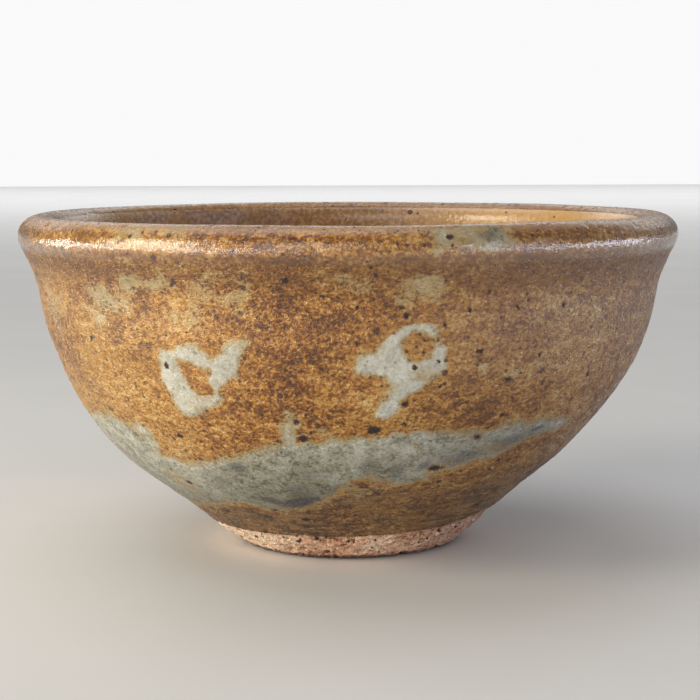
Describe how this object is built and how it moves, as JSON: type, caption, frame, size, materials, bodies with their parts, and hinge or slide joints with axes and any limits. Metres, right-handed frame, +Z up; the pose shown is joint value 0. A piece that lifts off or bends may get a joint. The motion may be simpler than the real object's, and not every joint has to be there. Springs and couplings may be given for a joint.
{
  "type": "matcha bowl",
  "caption": "Hand-thrown stoneware tea bowl with a rolled lip, open rounded wall, bare turned foot, mottled glaze and brushed pale slip.",
  "frame": {"origin": "middle of the foot's base, on the surface that the bowl stands on", "axes": "+Z up through the bowl's mouth, -Y towards the front with the brushed marks, +X to the right seen from the front"},
  "size_m": [0.125, 0.125, 0.0632],
  "materials": {
    "clay": "fired stoneware, covered by glaze",
    "bare_foot": "matte bare stoneware with pale grog",
    "inside_glaze": "glossy, mottled tan and grey",
    "outside_glaze": "satin, granular rust glaze with iron spots",
    "pale_slip": "satin pale slip under clear glaze"
  },
  "bodies": {
    "root": {"clay_body": "clay", "foot_ring": "bare_foot", "inner_glaze": "inside_glaze", "outer_glaze": "outside_glaze", "slip_band": "pale_slip", "slip_mark_left": "pale_slip", "slip_mark_right": "pale_slip", "slip_patch_lip": "pale_slip", "slip_patch_shoulder": "pale_slip"}
  },
  "joints": []
}
